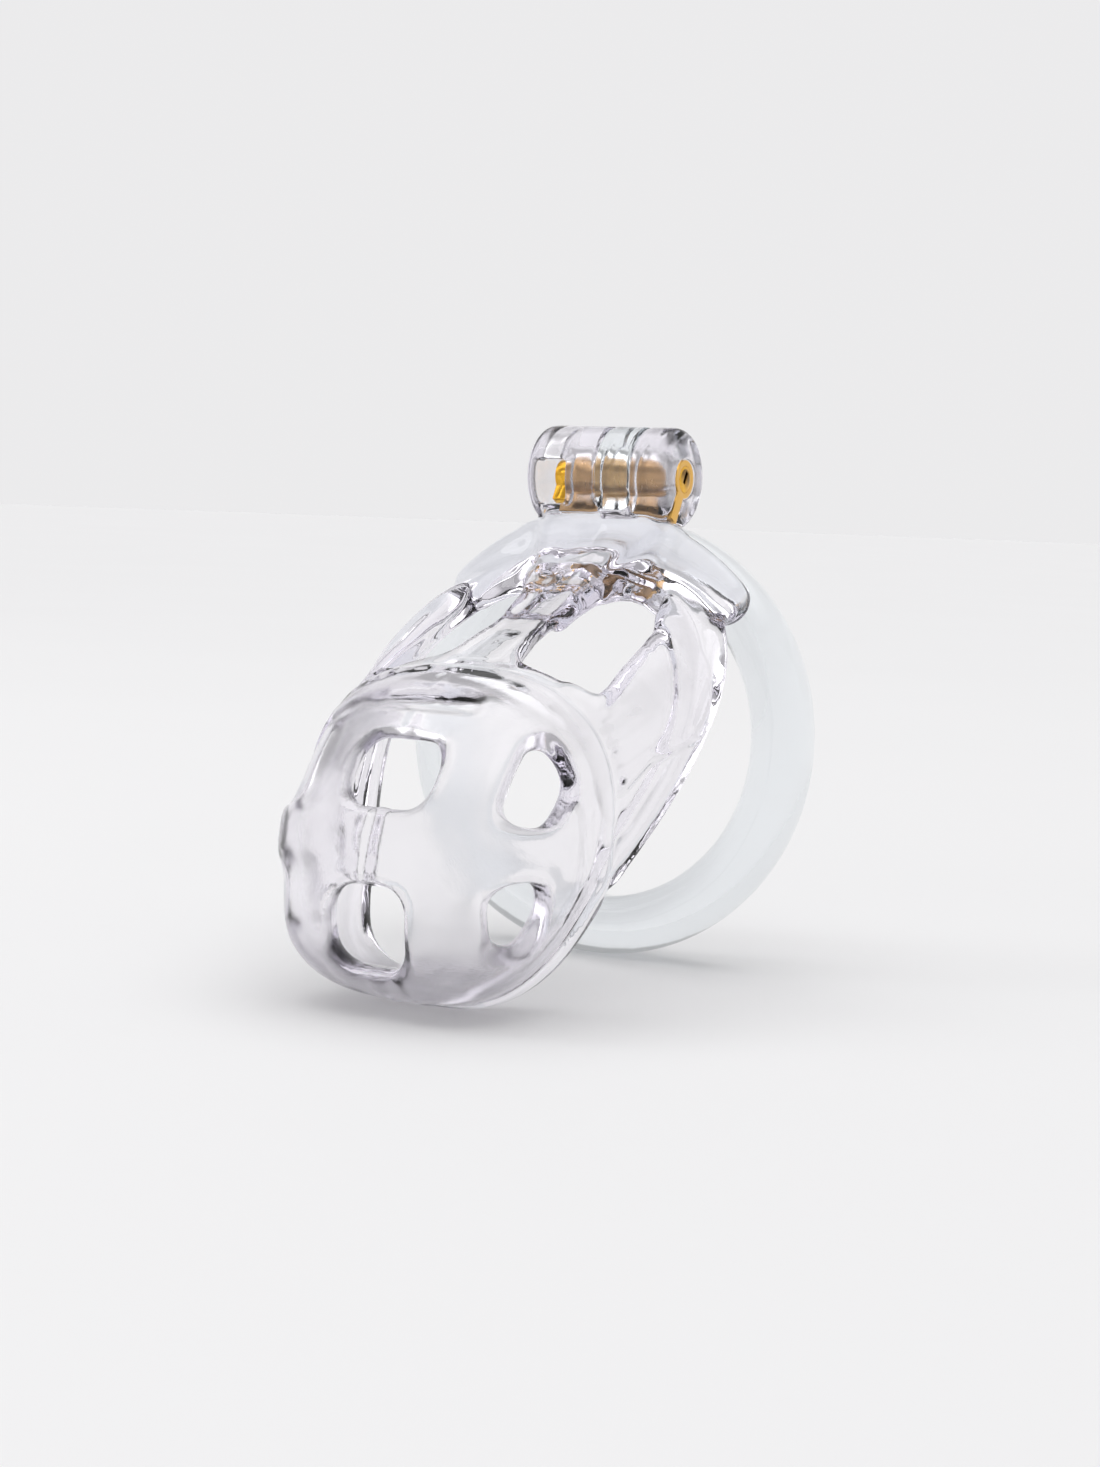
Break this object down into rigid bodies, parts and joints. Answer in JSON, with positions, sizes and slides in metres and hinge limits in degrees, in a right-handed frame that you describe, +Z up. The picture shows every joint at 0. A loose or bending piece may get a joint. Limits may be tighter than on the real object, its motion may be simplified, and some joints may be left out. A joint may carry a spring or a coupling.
{
  "type": "chastity cage",
  "caption": "Clear rigid wearable cage: a windowed tube with a rounded nose, locked to a round base ring by a removable brass barrel lock.",
  "frame": {"origin": "the middle of the small flat under the base ring, on the surface the object rests on, in the left-right symmetry plane", "axes": "+Z up, -Y towards the closed nose of the tube, +X towards the keyway end of the barrel lock"},
  "size_m": [0.068, 0.0754, 0.0811],
  "materials": {
    "clear_resin": "polished clear",
    "clear_ring_resin": "polished, slightly milky",
    "brass_shell": "turned",
    "brass_plug": "polished",
    "brass_pin": "turned",
    "steel": "drawn wire"
  },
  "bodies": {
    "tube_and_ring": {"cage_tube": "clear_resin", "base_ring": "clear_ring_resin"},
    "lock": {"lock_barrel": "brass_shell", "spring_cover": "brass_shell", "pin_spring_1": "steel", "pin_spring_2": "steel", "pin_spring_3": "steel", "pin_spring_4": "steel"},
    "plug": {"lock_plug": "brass_plug", "lock_cam": "brass_plug", "cam_screw": "steel"},
    "key_pin_1": {"key_pin_1": "brass_pin"},
    "key_pin_2": {"key_pin_2": "brass_pin"},
    "key_pin_3": {"key_pin_3": "brass_pin"},
    "key_pin_4": {"key_pin_4": "brass_pin"},
    "driver_pin_1": {"driver_pin_1": "brass_pin"},
    "driver_pin_2": {"driver_pin_2": "brass_pin"},
    "driver_pin_3": {"driver_pin_3": "brass_pin"},
    "driver_pin_4": {"driver_pin_4": "brass_pin"}
  },
  "joints": [
    {"name": "lock_slide", "type": "slide", "parent": "tube_and_ring", "child": "lock", "axis": [1, 0, 0], "range_m": [0, 0.026]},
    {"name": "plug_turn", "type": "hinge", "parent": "lock", "child": "plug", "pos_m": [0, 0.00077, 0.0734], "axis": [1, 0, 0], "range_deg": [0, 90]},
    {"name": "key_pin_1_slide", "type": "slide", "parent": "plug", "child": "key_pin_1", "axis": [0, 0.4848, 0.8746], "range_m": [0, 0.0004]},
    {"name": "key_pin_2_slide", "type": "slide", "parent": "plug", "child": "key_pin_2", "axis": [0, 0.4848, 0.8746], "range_m": [0, 0.0004]},
    {"name": "key_pin_3_slide", "type": "slide", "parent": "plug", "child": "key_pin_3", "axis": [0, 0.4848, 0.8746], "range_m": [0, 0.0004]},
    {"name": "key_pin_4_slide", "type": "slide", "parent": "plug", "child": "key_pin_4", "axis": [0, 0.4848, 0.8746], "range_m": [0, 0.0004]},
    {"name": "driver_pin_1_slide", "type": "slide", "parent": "lock", "child": "driver_pin_1", "axis": [0, -0.4848, -0.8746], "range_m": [0, 0.0006], "stiffness_N_per_m": 20, "deforming": ["pin_spring_1"]},
    {"name": "driver_pin_2_slide", "type": "slide", "parent": "lock", "child": "driver_pin_2", "axis": [0, -0.4848, -0.8746], "range_m": [0, 0.0006], "stiffness_N_per_m": 20, "deforming": ["pin_spring_2"]},
    {"name": "driver_pin_3_slide", "type": "slide", "parent": "lock", "child": "driver_pin_3", "axis": [0, -0.4848, -0.8746], "range_m": [0, 0.0006], "stiffness_N_per_m": 20, "deforming": ["pin_spring_3"]},
    {"name": "driver_pin_4_slide", "type": "slide", "parent": "lock", "child": "driver_pin_4", "axis": [0, -0.4848, -0.8746], "range_m": [0, 0.0006], "stiffness_N_per_m": 20, "deforming": ["pin_spring_4"]}
  ]
}
